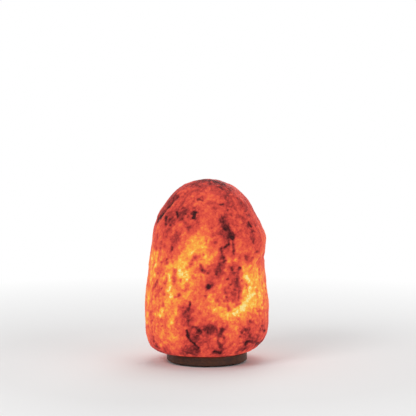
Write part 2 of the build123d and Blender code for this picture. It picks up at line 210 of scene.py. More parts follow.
# %% [markdown]
# The block's whole skin is one grid. Its rows start at the crown, come down the side, turn under at the
# chipped lower edge, cross the sawn underside to the drilling, go up the drilling's wall and close at its
# rounded end. Rows that lie a millimetre or two apart can hold the hewn relief as real shape.

# %% The skin of the block as one grid
COLUMNS, SIDE_ROWS, UNDER_ROWS, WALL_ROWS, END_ROWS = 340, 238, 12, 20, 8
BORE_RADIUS, BORE_END_ROUND, BORE_DEPTH = 27.5, 14.0, 128.0
BORE_TOP = FOOT_CUT + BORE_DEPTH

angles = np.linspace(0, TURN, COLUMNS, endpoint=False)
mean_width = LEVELS[:, 1:].mean(axis=1)
side_knots = np.concatenate([[0], np.cumsum(np.hypot(np.diff(LEVELS[:, 0]), np.diff(mean_width)))])
side = curve_through(side_knots, LEVELS, np.linspace(side_knots[-1], 0, SIDE_ROWS))
side_points = level_outlines(side, angles)

# centre the block over its base, as the construction model does, by filling the same box
side_low, side_high = side_points.min(axis=(0, 1)), side_points.max(axis=(0, 1))
across = (crystal_high - crystal_low)[:2] / (side_high - side_low)[:2]
side_points[..., :2] = crystal_low[:2] + (side_points[..., :2] - side_low[:2]) * across

rim = around(BORE_RADIUS, angles, FOOT_CUT)
inwards = np.linspace(0, 1, UNDER_ROWS + 1)[1:, None, None]


def underside(edge):
    """The rows from the block's lower edge in to the rim of the drilling."""
    return edge * (1 - inwards) + rim * inwards


wall_heights = np.linspace(FOOT_CUT, BORE_TOP - BORE_END_ROUND, WALL_ROWS + 1)[1:]
bend = np.linspace(0, pi / 2, END_ROWS + 1)[1:]
end_radius = BORE_RADIUS - BORE_END_ROUND + BORE_END_ROUND * np.cos(bend)
end_heights = BORE_TOP - BORE_END_ROUND + BORE_END_ROUND * np.sin(bend)
bore_radius = np.concatenate([np.full(WALL_ROWS, BORE_RADIUS), end_radius, [BORE_RADIUS / 4, 0]])[:, None]
bore_heights = np.concatenate([wall_heights, end_heights, [BORE_TOP, BORE_TOP]])[:, None]
bore_points = around(bore_radius, angles, bore_heights)
skin = np.concatenate([side_points, underside(side_points[-1]), bore_points])
print("skin grid", skin.shape)

# %% [markdown]
# ## Hewn relief
# The block was broken out of a salt bed and trimmed with a chisel. That leaves shallow scoops with soft
# ridges between them, finer broken grain all over, and long upright grooves where the tool ran down the
# left side. All of them are a push along the skin's normal: outwards at the ridges, and less or inwards
# elsewhere. The scoops come from folded noise, |n|. Its valleys, where n crosses 0, are the hollows, and
# a smooth step rounds them.
#
# The trimming also left flat chips. Each lies in a plane with normal n at depth d under a point p of the
# skin, so a point x whose own normal is m may stand out by no more than -((x - p)·n + d) / (m·n). Beyond
# a reach of 17 mm the plane curls up, so that a chip always ends on the surface round it.

# %% Push the skin in and out
def grid_normals(grid):
    """Unit normals of a round grid: the cross product of the steps down the rows and along the columns."""
    down = np.gradient(grid, axis=0)
    along = np.roll(grid, -1, axis=1) - np.roll(grid, 1, axis=1)
    normal = np.cross(along, down)
    return -normal / np.maximum(np.linalg.norm(normal, axis=-1, keepdims=True), 1e-9)


OUTWARD, SCOOP_DEPTH, GRAIN_DEPTH, CRUMB_DEPTH, GROOVE_DEPTH = 2.8, 2.4, 0.8, 0.3, 0.5
INSIDE = [0, 0, 140]            # a point well inside the block
WARP, WARP_CELL = 5.0, 22       # how far the noise's own space is bent, and over what distance

side_normals = grid_normals(side_points)
side_normals *= np.sign(np.einsum("ijk,ijk->", side_normals, side_points - INSIDE))
bent = [value_noise(side_points, WARP_CELL, seed) for seed in (1, 2, 3)]
warped = side_points + WARP * np.stack(bent, axis=-1)
scoops = np.abs(cloud(warped, (46, 46, 60), 11, sizes=2)) * 1.6 - 1
grain = cloud(warped, (11, 11, 15), 21) - 0.35
crumbs = cloud(side_points, 3.6, 31, sizes=2) - 0.3
left_side = smooth_step(-58, -76, side_points[..., 0]) * smooth_step(22, 45, side_points[..., 2])
grooves = value_noise(side_points, (3.2, 3.2, 34), 41) - 0.6
CHIPS, CHIP_TILT, CHIP_DEPTHS, FRONT_SHALLOWER = 120, 0.12, (-1.1, 1.2), 1.0
CHIP_REACH, CHIP_CURL, LEAST_FACING = 17.0, 0.03, 0.3
seen_from_front = smooth_step(-0.5, 0.1, -side_normals[..., 1])


def chipped(push, count, seed):
    """Lowers the push to flat chips at random places; they are shallower where the front is seen."""
    pick = np.random.default_rng(seed)
    for _ in range(count):
        row, column = pick.integers(SIDE_ROWS // 10, SIDE_ROWS - 8), pick.integers(COLUMNS)
        facing = side_normals[row, column] + pick.uniform(-CHIP_TILT, CHIP_TILT, 3)
        facing /= np.linalg.norm(facing)
        depth = pick.uniform(*CHIP_DEPTHS) - FRONT_SHALLOWER * seen_from_front[row, column]
        away = side_points - side_points[row, column]
        plane = -(away @ facing + depth) / np.maximum(side_normals @ facing, LEAST_FACING)
        curl = CHIP_CURL * np.maximum(np.linalg.norm(away, axis=-1) - CHIP_REACH, 0) ** 2
        push = np.minimum(push, plane + curl)
    return push


# %% [markdown]
# ## Marks on the front
# The front has marks of its own: broad zones that glow more or less, clear salt that lets the bulb through
# nearly white, and smears, specks and cracks of clay. They are drawn as strokes on a plane that stands
# before the block, as someone in front of it sees it, in millimetres to the right of its middle and up from
# the table. A stroke's cover is exp(-(d / w)²), where d is the distance to its line and w its width. The
# plane is shaken with noise first and the widths are ragged, so that no stroke keeps a smooth edge. Thin
# strokes are shaken less, so that they stay.

# %% Strokes on the front plane
VIEW_DISTANCE, VIEW_RISE = 3000.0, radians(6)
VIEW_HEIGHT = 222.2                         # the height that the view looks at
VIEW_MIDDLE = 1.6
forward = np.array([0, cos(VIEW_RISE), -sin(VIEW_RISE)])
upward = np.array([0, sin(VIEW_RISE), cos(VIEW_RISE)])
looked_at = np.array([VIEW_MIDDLE, 0, VIEW_HEIGHT])


def front_plane(points):
    """Across and up on a plane through the block's middle, as seen from the view's distance."""
    nearness = VIEW_DISTANCE / (VIEW_DISTANCE + (points - looked_at) @ forward)
    across = VIEW_MIDDLE + (points[..., 0] - VIEW_MIDDLE) * nearness
    up = looked_at @ upward + (points - looked_at) @ upward * nearness
    return across, up


def stroke(across, up, line, width):
    """The cover of one stroke: exp(-(d / width)²) for the distance d to the nearest part of its line."""
    nearest = np.full(across.shape, 1e9)
    for (x0, y0), (x1, y1) in zip(line[:-1] or line, line[1:] or line):
        run = max((x1 - x0) ** 2 + (y1 - y0) ** 2, 1e-9)
        t = np.clip(((across - x0) * (x1 - x0) + (up - y0) * (y1 - y0)) / run, 0, 1)
        nearest = np.minimum(nearest, np.hypot(across - x0 - t * (x1 - x0), up - y0 - t * (y1 - y0)))
    return np.exp(-(nearest / width) ** 2)


# each is (strength, width in mm, line of (across, up) in mm)
ZONES = [
    (0.16, 14, [(-14, 172), (-22, 162), (-34, 146), (-42, 130)]),
    (0.13, 19, [(-42, 130), (-50, 100)]),
    (0.14, 20, [(-58, 82), (-58, 36)]),
    (0.10, 9, [(-75, 158), (-82, 118), (-86, 88)]),
    (0.04, 12, [(0, 156), (-10, 148)]),
    (0.24, 16, [(62, 124), (69, 106), (64, 82)]),
    (0.03, 12, [(80, 130), (84, 76)]),
    (0.08, 10, [(0, 244), (2, 206)]),
    (-0.10, 12, [(-8, 258), (28, 254)]),
    (-0.14, 9, [(-80, 27), (-62, 14)]),
    (0.15, 12, [(54, 80), (36, 70), (22, 70)]),
    (0.08, 18, [(0, 88), (2, 70)]),
    (0.06, 16, [(50, 64)]),
    (-0.16, 12, [(27, 197), (32, 186), (28, 168)]),
    (-0.15, 11, [(40, 136), (40, 112), (38, 94)]),
    (-0.08, 14, [(12, 136)]),
    (-0.18, 12, [(-26, 70), (-26, 46), (-16, 22)]),
    (-0.14, 11, [(-6, 41), (18, 45)]),
    (-0.10, 14, [(0, 24), (20, 20)]),
    (-0.26, 13, [(58, 30), (80, 27)]),
    (-0.10, 12, [(66, 45), (80, 50)]),
    (-0.10, 14, [(58, 204), (62, 176)]),
    (-0.11, 14, [(-54, 205), (-32, 210)]),
    (-0.10, 10, [(-48, 180), (-50, 160)]),
    (-0.08, 10, [(30, 240), (50, 228)]),
]
CLEAR_SALT = [
    (0.28, 2.7, [(-36, 133), (-40, 127), (-37, 122), (-33, 118), (-35, 112)]),
    (0.16, 2.4, [(-35, 112), (-34, 96)]),
    (0.06, 5.5, [(-38, 134), (-33, 116)]),
    (0.22, 1.7, [(-55, 126), (-54, 117)]),
    (0.18, 1.5, [(-60, 120)]),
    (0.42, 2.6, [(-51, 108), (-53, 105)]),
    (0.20, 1.6, [(-44, 103)]),
    (0.14, 3.6, [(-52, 108), (-52, 94)]),
    (0.12, 2.5, [(-68, 111)]),
    (0.14, 5.0, [(-26, 127), (-27, 118)]),
    (0.08, 4.5, [(-6, 172), (-10, 164), (-21, 158)]),
    (0.12, 4.0, [(-21, 158), (-26, 146), (-34, 136)]),
    (0.12, 6.0, [(2, 154), (9, 151)]),
    (0.10, 5.0, [(2, 147), (-14, 142)]),
    (0.15, 3.4, [(-74, 158), (-77, 137), (-80, 118)]),
    (0.14, 2.0, [(-84, 100), (-83, 81)]),
    (0.18, 2.5, [(-86, 70), (-87, 56)]),
    (0.14, 2.5, [(-83, 62), (-81, 53)]),
    (0.12, 2.8, [(-50, 94), (-56, 88)]),
    (0.22, 2.6, [(-57, 81)]),
    (0.26, 3.4, [(-65, 76), (-70, 69)]),
    (0.10, 4.0, [(-65, 68)]),
    (0.16, 2.4, [(-43, 76), (-45, 70)]),
    (0.16, 3.0, [(-48, 61), (-51, 56)]),
    (0.10, 4.0, [(-46, 87), (-36, 90)]),
    (0.14, 2.5, [(-40, 196)]),
    (0.04, 8.0, [(-8, 195)]),
    (0.13, 1.8, [(44, 147), (39, 145), (30, 143)]),
    (0.16, 2.2, [(48, 140), (53, 131), (57, 122)]),
    (0.15, 3.0, [(57, 122), (62, 112), (60, 104)]),
    (0.22, 3.8, [(61, 103), (62, 95), (58, 90)]),
    (0.22, 2.2, [(52, 98)]),
    (0.28, 3.0, [(54, 85), (50, 82)]),
    (0.23, 4.8, [(50, 78), (41, 75), (42, 70), (32, 67)]),
    (0.16, 4.2, [(29, 71), (31, 65)]),
    (0.19, 3.6, [(10, 75), (17, 76), (23, 78)]),
    (0.13, 2.4, [(5, 95), (10, 90), (7, 84)]),
    (0.15, 2.4, [(23, 121), (20, 111), (18, 105)]),
    (0.06, 2.2, [(69, 126)]),
    (0.10, 9.0, [(71, 98), (72, 86)]),
    (0.05, 5.0, [(68, 134), (74, 116)]),
    (0.10, 4.0, [(40, 49)]),
    (0.08, 3.0, [(11, 32)]),
]
CLAY = [
    (0.95, 2.9, [(-16, 213), (-18.5, 208)]), (0.50, 1.5, [(-43, 216), (-42, 209)]),
    (0.45, 1.7, [(-58, 208), (-59, 204)]), (0.36, 1.6, [(-13, 233), (-6, 232)]),
    (0.22, 1.3, [(-6, 236)]), (0.28, 1.2, [(-32, 242)]), (0.20, 2.2, [(-20, 222), (-16, 222)]),
    (0.15, 3.6, [(-29, 219), (-34, 213)]), (0.45, 1.3, [(-35, 206)]), (0.22, 1.6, [(-53, 204)]),
    (0.22, 1.6, [(-38, 204)]), (0.22, 1.6, [(-59, 198)]), (0.22, 1.6, [(-53, 196)]),
    (0.20, 1.6, [(-47, 198)]), (0.14, 2.8, [(-30, 198), (-26, 191)]), (0.18, 1.4, [(-19, 203)]),
    (0.16, 1.4, [(-13, 201)]), (0.15, 3.0, [(-22, 253), (-12, 253)]),
    (0.16, 2.5, [(-19, 260), (0, 260)]), (0.24, 2.0, [(5, 260), (4, 255)]),
    (0.30, 2.8, [(10, 260), (18, 258), (25, 257)]), (0.18, 2.2, [(18, 244)]),
    (0.12, 3.5, [(34, 244), (25, 237)]), (0.12, 4.0, [(21, 249)]), (0.28, 2.0, [(18, 227), (23, 227)]),
    (0.13, 3.0, [(1, 229), (13, 228)]), (0.16, 1.5, [(11, 220)]), (0.22, 1.4, [(30, 219)]),
    (0.12, 2.5, [(36, 222), (36, 217)]), (0.06, 5.0, [(29, 231)]), (0.12, 2.3, [(27, 217), (28, 210)]),
    (0.20, 1.6, [(56, 217)]), (0.22, 1.6, [(56, 212)]), (0.24, 1.5, [(61, 212)]),
    (0.48, 1.7, [(60, 201), (63, 195)]), (0.12, 4.5, [(58, 198)]), (0.13, 3.0, [(47, 208)]),
    (0.10, 3.0, [(44, 201)]), (0.16, 1.8, [(69, 196)]), (0.16, 2.0, [(65, 187)]),
    (0.22, 4.6, [(20, 206), (22, 200), (27, 193)]), (0.20, 2.2, [(23, 202)]),
    (0.24, 4.2, [(26, 192), (32, 191), (35, 185)]), (0.24, 3.2, [(35, 187), (37, 180)]),
    (0.80, 1.5, [(36.4, 179.6), (37.6, 177.4)]), (0.16, 4.0, [(25, 181)]),
    (0.26, 2.6, [(32, 183), (32, 169)]), (0.36, 2.8, [(31, 169), (27, 165)]),
    (0.14, 3.0, [(10, 184), (14, 186)]), (0.14, 2.0, [(12, 171)]), (0.14, 1.6, [(18, 167)]),
    (0.30, 1.5, [(38, 175), (38, 154)]), (0.24, 1.8, [(38, 158)]),
    (0.36, 2.3, [(20, 161), (22, 152), (25, 144)]), (0.36, 4.2, [(24, 143), (18, 137), (13, 132)]),
    (0.26, 1.7, [(12, 126)]), (0.36, 3.3, [(-7, 130), (1, 129)]), (0.36, 1.8, [(-9, 139), (-7, 132)]),
    (0.16, 1.2, [(10, 141), (0, 135)]), (0.30, 1.4, [(-4, 154)]), (0.34, 3.4, [(-18, 151), (-12, 150)]),
    (0.28, 1.8, [(-21, 145)]), (0.34, 3.2, [(-22, 140)]), (0.12, 2.6, [(-29, 193), (-22, 193)]),
    (0.16, 2.0, [(-26, 188)]), (0.26, 4.0, [(-45, 179), (-43, 172)]),
    (0.24, 2.0, [(-50, 165), (-50, 160)]), (0.14, 3.0, [(-51, 174), (-52, 150)]),
    (0.60, 1.7, [(-58, 147)]), (0.40, 2.4, [(-57, 142)]), (0.32, 1.7, [(-66, 143)]),
    (0.32, 1.9, [(-71, 127)]), (0.34, 2.4, [(-73, 116), (-78, 106)]),
    (0.46, 3.2, [(-46, 131), (-46, 117)]), (0.34, 2.2, [(-60, 113)]), (0.40, 2.2, [(-61, 98)]),
    (0.34, 2.2, [(-66, 106)]), (0.30, 1.8, [(-40, 97)]), (0.14, 2.2, [(-72, 184), (-75, 162)]),
    (0.14, 2.0, [(-66, 172), (-69, 158)]), (0.72, 4.3, [(1.5, 108), (4.0, 108)]),
    (0.12, 8.0, [(2, 108)]), (0.50, 1.5, [(30, 118)]), (0.36, 2.0, [(34, 111)]),
    (0.48, 1.6, [(51, 116)]), (0.40, 1.3, [(58, 110)]), (0.34, 3.0, [(45, 132), (45, 109)]),
    (0.32, 2.2, [(35, 135), (39, 127)]), (0.30, 2.6, [(46, 134)]), (0.30, 2.6, [(27, 104)]),
    (0.26, 1.8, [(40, 103)]), (0.36, 2.6, [(48, 103)]), (0.30, 2.4, [(27, 98)]),
    (0.32, 2.0, [(67, 175), (67, 172)]), (0.15, 2.5, [(66, 186), (66, 178)]), (0.42, 1.7, [(72, 158)]),
    (0.24, 2.0, [(57, 151), (58, 147)]), (0.34, 2.0, [(65, 148)]), (0.14, 1.6, [(76, 148)]),
    (0.30, 2.1, [(28, 92), (30, 88)]), (0.42, 1.3, [(25, 87)]), (0.30, 1.6, [(16, 87)]),
    (0.24, 1.5, [(12, 79)]), (0.42, 1.8, [(43, 83), (48, 84)]), (0.26, 1.8, [(46, 99), (46, 89)]),
    (0.26, 2.5, [(30, 80), (32, 75)]), (0.22, 1.5, [(39, 79)]), (0.13, 2.0, [(37, 88)]),
    (0.28, 1.6, [(-2, 95)]), (0.22, 1.4, [(79, 81)]), (0.20, 1.0, [(72, 72), (78, 73)]),
    (0.16, 1.0, [(68, 81), (67, 75)]), (0.32, 2.0, [(63, 58)]), (0.26, 1.5, [(78, 52)]),
    (0.46, 1.7, [(81, 45)]), (0.24, 3.6, [(53, 48), (57, 47), (51, 42)]), (0.22, 1.8, [(51, 42)]),
    (0.32, 2.1, [(48, 36)]), (0.36, 2.3, [(56, 27)]), (0.38, 2.2, [(62, 28)]), (0.22, 2.5, [(65, 34)]),
    (0.30, 2.5, [(72, 26)]), (0.22, 3.0, [(47, 18), (52, 20)]),
    (0.42, 2.9, [(24, 48), (20, 42), (18, 39)]), (0.30, 2.8, [(27, 52)]), (0.22, 1.6, [(23, 56)]),
    (0.22, 3.6, [(17, 35), (17, 28)]), (0.22, 4.2, [(2, 45), (12, 45)]), (0.22, 1.8, [(2, 42)]),
    (0.20, 1.6, [(9, 49)]), (0.48, 2.4, [(12, 15), (18, 14)]), (0.28, 3.0, [(20, 21)]),
    (0.16, 3.0, [(-1, 34)]), (0.18, 1.8, [(25, 35)]), (0.60, 1.5, [(-25, 87), (-25, 82)]),
    (0.24, 1.4, [(-25, 81), (-27, 75)]), (0.16, 3.0, [(-36, 78)]), (0.20, 3.8, [(-28, 71), (-33, 66)]),
    (0.22, 3.2, [(-25, 61), (-26, 55)]), (0.18, 2.4, [(-34, 53)]), (0.22, 2.6, [(-10, 72)]),
    (0.20, 2.2, [(-8, 98)]), (0.22, 1.8, [(-1, 94)]), (0.32, 2.0, [(-45, 92), (-39, 96)]),
    (0.20, 2.0, [(-72, 103), (-71, 95)]), (0.38, 1.8, [(-62, 84), (-63, 80)]), (0.36, 1.4, [(-65, 52)]),
    (0.16, 2.0, [(-66, 61)]), (0.14, 5.0, [(-59, 58)]), (0.32, 1.3, [(-79, 60)]),
    (0.18, 3.0, [(-80, 70)]), (0.14, 3.0, [(-83, 49)]), (0.22, 1.9, [(-77, 36), (-76, 29)]),
    (0.26, 1.9, [(-74, 23), (-69, 20)]), (0.58, 1.3, [(-29, 45), (-28, 37)]),
    (0.52, 1.6, [(-28, 37), (-23, 30)]), (0.50, 1.3, [(-23, 30), (-17, 25)]),
    (0.50, 1.0, [(-17, 25), (-12, 20)]), (0.24, 5.0, [(-27, 19), (-18, 19)]),
    (0.22, 3.0, [(-38, 13), (-12, 13)]), (0.22, 2.4, [(-40, 47)]), (0.16, 2.0, [(-41, 41)]),
    (0.18, 1.1, [(-44, 38)]), (0.32, 3.0, [(-17, 49), (-8, 44)]), (0.24, 3.8, [(-3, 47), (4, 49)]),
    (0.16, 5.5, [(-13, 35)]), (0.22, 2.0, [(-36, 18)]), (0.16, 3.6, [(-60, 18)]),
    (0.20, 4.0, [(-76, 203), (-66, 217), (-57, 230), (-47, 241)]),
]
# the dark gap between the block and the thin flake on its upper left shoulder
FLAKE_LINE, FLAKE_WIDTH = [(-75, 197), (-70, 206), (-62, 214), (-52, 227), (-42, 238)], 2.0
STEADY_WIDTH = 4.0              # strokes thinner than this are shaken less

side_across, side_up = front_plane(side_points)
shake_across = 2.6 * value_noise(side_points, 7, 51) + 1.3 * value_noise(side_points, 2.8, 53)
shake_up = 3.0 * value_noise(side_points, 7, 52) + 1.5 * value_noise(side_points, 2.8, 54)
ragged = 1 + 0.30 * value_noise(side_points, 4.5, 56) + 0.30 * value_noise(side_points, 2.2, 57)


def drawn(strokes, across, up):
    """All the strokes' covers added up, each times its strength."""
    total = np.zeros(across.shape)
    for power, width, line in strokes:
        shaken = min(width / STEADY_WIDTH, 1)
        places = across + shaken * shake_across, up + shaken * shake_up
        total += power * stroke(*places, line, width * ragged)
    return total


front = smooth_step(-0.06, 0.16, -side_normals[..., 1] + 0.08 * value_noise(side_points, 12, 55))
flake_line = front * stroke(side_across + 0.3 * shake_across, side_up + 0.3 * shake_up,
                            FLAKE_LINE, FLAKE_WIDTH * ragged)
print("strokes on the front:", len(ZONES), "zones,", len(CLEAR_SALT), "clear,", len(CLAY), "clay")

# %% [markdown]
# ## Marks on the other sides
# The sides and the back have marks of the same kinds and sizes, drawn by chance from a seeded generator.
# They lie on the skin unrolled: the way round in millimetres, and the height. A mark near the seam is
# drawn a second time one turn away, so that it carries on past the seam. Near the crown the unrolled skin
# would pinch the marks together, so they fade out there, and a cloud in space darkens the crown instead.

# %% Strokes on the unrolled skin
ROUND_RADIUS = 82.0
BRIGHT_HEIGHT, BRIGHT_SPREAD = 105.0, 62.0      # the band that the bulb lights most
chance = np.random.default_rng(7)


def chance_strokes(count, strengths, widths, lengths, leaning):
    """Strokes at random places on the unrolled skin; leaning is how far from upright they may lie."""
    made = []
    for _ in range(count):
        x, z = chance.uniform(0, TURN * ROUND_RADIUS), chance.uniform(18, 250)
        lean, length = chance.uniform(-leaning, leaning), chance.uniform(*lengths)
        bow = chance.uniform(-0.25, 0.25) * length
        run = (length * sin(lean), length * cos(lean))
        line = [(x, z), (x + run[0] / 2 + bow * cos(lean), z + run[1] / 2 - bow * sin(lean)),
                (x + run[0], z + run[1])]
        made.append((chance.uniform(*strengths), chance.uniform(*widths), line))
        for turn in (-1, 1):       # the same stroke past the seam
            made.append((*made[-1][:2], [(x + turn * TURN * ROUND_RADIUS, z) for x, z in line]))
    return [mark for mark in made if -40 < mark[2][1][0] < TURN * ROUND_RADIUS + 40]


way_round = np.broadcast_to(angles * ROUND_RADIUS, side_points.shape[:2])
unrolled = way_round, side_points[..., 2]
zones_round = drawn(chance_strokes(26, (-0.30, 0.25), (8, 18), (10, 50), 0.9), *unrolled)
clear_round = drawn(chance_strokes(54, (0.14, 0.34), (1.8, 6.0), (3, 26), 0.9), *unrolled)
clay_round = drawn(chance_strokes(76, (0.16, 0.40), (2.4, 5.6), (2, 22), 1.2)
                   + chance_strokes(150, (0.25, 0.75), (1.2, 2.4), (0.2, 5), 1.5)
                   + chance_strokes(12, (0.28, 0.50), (1.2, 1.9), (18, 55), 0.7), *unrolled)
bright_band = np.exp(-((side_points[..., 2] - BRIGHT_HEIGHT) / BRIGHT_SPREAD) ** 2)
not_crown = smooth_step(254, 226, side_points[..., 2])
crown_clay = 0.30 * smooth_step(0.0, 0.8, cloud(side_points, 9, 131)) * (1 - not_crown)
zones = (front * drawn(ZONES, side_across, side_up)
         + (1 - front) * (zones_round * not_crown + 0.10 * bright_band))
clear = front * drawn(CLEAR_SALT, side_across, side_up) + (1 - front) * clear_round * (0.2 + bright_band)
clay = front * drawn(CLAY, side_across, side_up) + (1 - front) * (clay_round * not_crown + crown_clay)
print("clear salt up to", round(float(clear.max()), 2), "and clay up to", round(float(clay.max()), 2))

# %% [markdown]
# Clay is softer than salt and washes out, so a mark of clay is also a dent, and the flake's line is a
# groove. With these the relief is complete. The push fades to nothing at the flat cut, and the block is
# kept just inside its own box.

# %% Move the side's points, and round the lower edge
CLAY_DENT, FLAKE_GROOVE = 1.1, 1.5
EDGE_ROUND, EDGE_HEIGHT, FOOT_RADIUS, BOX_GAP = 3.0, 2.2, 75, 0.05

push = chipped(OUTWARD - SCOOP_DEPTH * (1 - smooth_step(-1, 1.4, scoops)), CHIPS, 17)
push -= GRAIN_DEPTH * smooth_step(0.1, -0.9, grain) + CRUMB_DEPTH * smooth_step(0.2, -0.8, crumbs)
push -= GROOVE_DEPTH * left_side * smooth_step(0.2, -0.9, grooves)
push -= CLAY_DENT * np.clip(clay, 0, 0.8) + FLAKE_GROOVE * flake_line
above_cut = side_points[..., 2] - FOOT_CUT
push = push * smooth_step(0, 6, above_cut)
shape = side_points + side_normals * push[..., None]
shape[..., :2] *= (1 - EDGE_ROUND / FOOT_RADIUS * np.exp(-above_cut / EDGE_HEIGHT) ** 2)[..., None]
low_limit, high_limit = crystal_low + BOX_GAP, crystal_high - BOX_GAP
print("points outside the block's box before they are drawn in:",
      int(((shape < low_limit) | (shape > high_limit)).any(axis=-1).sum()))
shape = np.clip(shape, [*low_limit[:2], FOOT_CUT], high_limit)
skin[:SIDE_ROWS] = shape
skin[SIDE_ROWS:SIDE_ROWS + UNDER_ROWS] = underside(shape[-1])

# %% [markdown]
# ## How much light comes through
# The glow of a place is one number, from 0 for dark to 1 for nearly white. It is worked out here once for
# each point of the skin and kept as an attribute, because it depends on the whole block: on the way from
# the bulb through the salt, on the height, and on the marks. A ridge is thin and glows more than the hollow
# beside it, so the relief counts too: how far a place stands out from the mean of its neighbourhood.
# Streaks follow the salt's bedding, which leans to the right on the left side of the front and a little to
# the left on its right. Where the glow is strong it grows more slowly, as a bright light does in a picture,
# and so does clay where its marks overlap, up to the few that are thick enough to be black. Clay is kept as
# a second attribute, because it also makes the surface dull.

# %% The glow of each point
BULB_HEIGHT, BULB_TALL = 103.0, 0.72    # its light reaches further up and down than out
BASE_GLOW, NEAR_GLOW = 0.572, 0.04
PATCHES, STREAKS, FINE_STREAKS, RIDGES = 0.10, 0.11, 0.13, 0.11
CLEAR_GAIN, CLEAR_STREAKS, FLAKE_DARK = 1.15, 0.9, 0.26
GLARE, GLARE_SHARE, MOST_GLOW = 0.80, 0.55, 0.99
THIN_CLAY, THICK_CLAY, THICK_GAIN, CLAY_STREAKS = 0.42, 0.52, 1.1, 0.4


def leaning_streaks(points, lean, cell, seed):
    """A cloud whose cells are long ones that lean from upright by an angle, about the Y axis."""
    turned = np.stack([points[..., 0] * cos(lean) - points[..., 2] * sin(lean), points[..., 1],
                       points[..., 0] * sin(lean) + points[..., 2] * cos(lean)], axis=-1)
    return cloud(turned, cell, seed, sizes=3)


def neighbourhood(values, times):
    """Each value's mean with its four neighbours on the grid, taken over and over."""
    for _ in range(times):
        padded = np.concatenate([values[:1], values, values[-1:]])
        beside = np.roll(values, 1, 1), np.roll(values, -1, 1)
        values = (2 * values + padded[:-2] + padded[2:] + beside[0] + beside[1]) / 6
    return values


from_bulb = np.linalg.norm((side_points - [0, 0, BULB_HEIGHT]) * [1, 1, BULB_TALL], axis=-1)
height = side_points[..., 2]
through_salt = BASE_GLOW + NEAR_GLOW * (1 - smooth_step(60, 118, from_bulb))
through_salt -= 0.08 * smooth_step(182, 218, height) + 0.04 * smooth_step(235, 262, height)
through_salt -= 0.12 * smooth_step(30, 17, height)
to_the_left = smooth_step(25, -25, side_points[..., 0])
streaks = (to_the_left * leaning_streaks(warped, radians(32), (7, 7, 20), 61)
           + (1 - to_the_left) * leaning_streaks(warped, radians(-12), (7, 7, 20), 71))
fine_streaks = leaning_streaks(warped, radians(18), (3.2, 3.2, 6.5), 81)
patches = cloud(warped, 14, 91, sizes=3)
standing_out = np.clip(push - neighbourhood(push, 16), -1, 1)
glow = (through_salt + zones + PATCHES * patches + STREAKS * streaks + FINE_STREAKS * fine_streaks
        + RIDGES * standing_out)
glow += clear * (CLEAR_GAIN + CLEAR_STREAKS * fine_streaks) - FLAKE_DARK * flake_line * (1 + fine_streaks)
glow = np.where(glow > GLARE, GLARE + GLARE_SHARE * (glow - GLARE), glow)
glow = np.clip(glow, 0.0, MOST_GLOW)
clay = clay * (1 + CLAY_STREAKS * fine_streaks)
thick = THICK_GAIN * np.maximum(clay - THICK_CLAY, 0)
clay = np.clip(THIN_CLAY * np.tanh(clay / THIN_CLAY) + thick, 0, 1)

under_skin, bore_skin = skin[SIDE_ROWS:SIDE_ROWS + UNDER_ROWS], skin[SIDE_ROWS + UNDER_ROWS:]
under_glow = (0.50 + 0.30 * inwards[..., 0]) + 0.10 * cloud(under_skin, 9, 111)
near_bulb = np.exp(-((bore_skin[..., 2] - BULB_HEIGHT) / 42) ** 2)
bore_glow = 0.70 + 0.25 * near_bulb + 0.10 * cloud(bore_skin, (12, 12, 6), 121)
skin_glow = np.concatenate([glow, under_glow, np.clip(bore_glow, 0, 1.0)])
for pole, row_beside in ((0, 1), (-1, -2)):
    skin_glow[pole] = skin_glow[row_beside].mean()
    skin[pole] = skin[row_beside].mean(axis=0)
salt_block = round_mesh("salt_block", skin * MM)
point_attribute(salt_block, "glow", skin_glow)
point_attribute(salt_block, "clay", np.concatenate([clay, np.zeros((len(skin) - SIDE_ROWS, COLUMNS))]))
print("glow from", round(float(glow.min()), 2), "to", round(float(glow.max()), 2),
      "mean", round(float(glow.mean()), 2))

# %% [markdown]
# ## Writing finishes as sums
# A finish is a tree of nodes, and most of its nodes are plain arithmetic. A small class makes that easy to
# read: it wraps one socket, and a sum or product of such sockets adds the Math nodes itself. Every other
# node comes from one method, which takes the node's type, its settings and its inputs.

# %% A socket that can be added and multiplied
class Wire:
    """One output socket of a finish's nodes. Arithmetic on wires and numbers adds Math nodes."""

    def __init__(self, finish, socket):
        self.finish, self.socket = finish, socket

    def maths(self, operation, *values):
        return self.finish.node("Math", {"operation": operation}, dict(enumerate(values)))

    def __add__(self, other):
        return self.maths("ADD", self, other)

    def __sub__(self, other):
        return self.maths("SUBTRACT", self, other)

    def __rsub__(self, other):
        return self.maths("SUBTRACT", other, self)

    def __mul__(self, other):
        return self.maths("MULTIPLY", self, other)

    __radd__, __rmul__ = __add__, __mul__

    def over(self, low, high):
        """0 at low and 1 at high, and level beyond them."""
        return self.finish.node("MapRange", {}, {"Value": self, "From Min": low, "From Max": high})


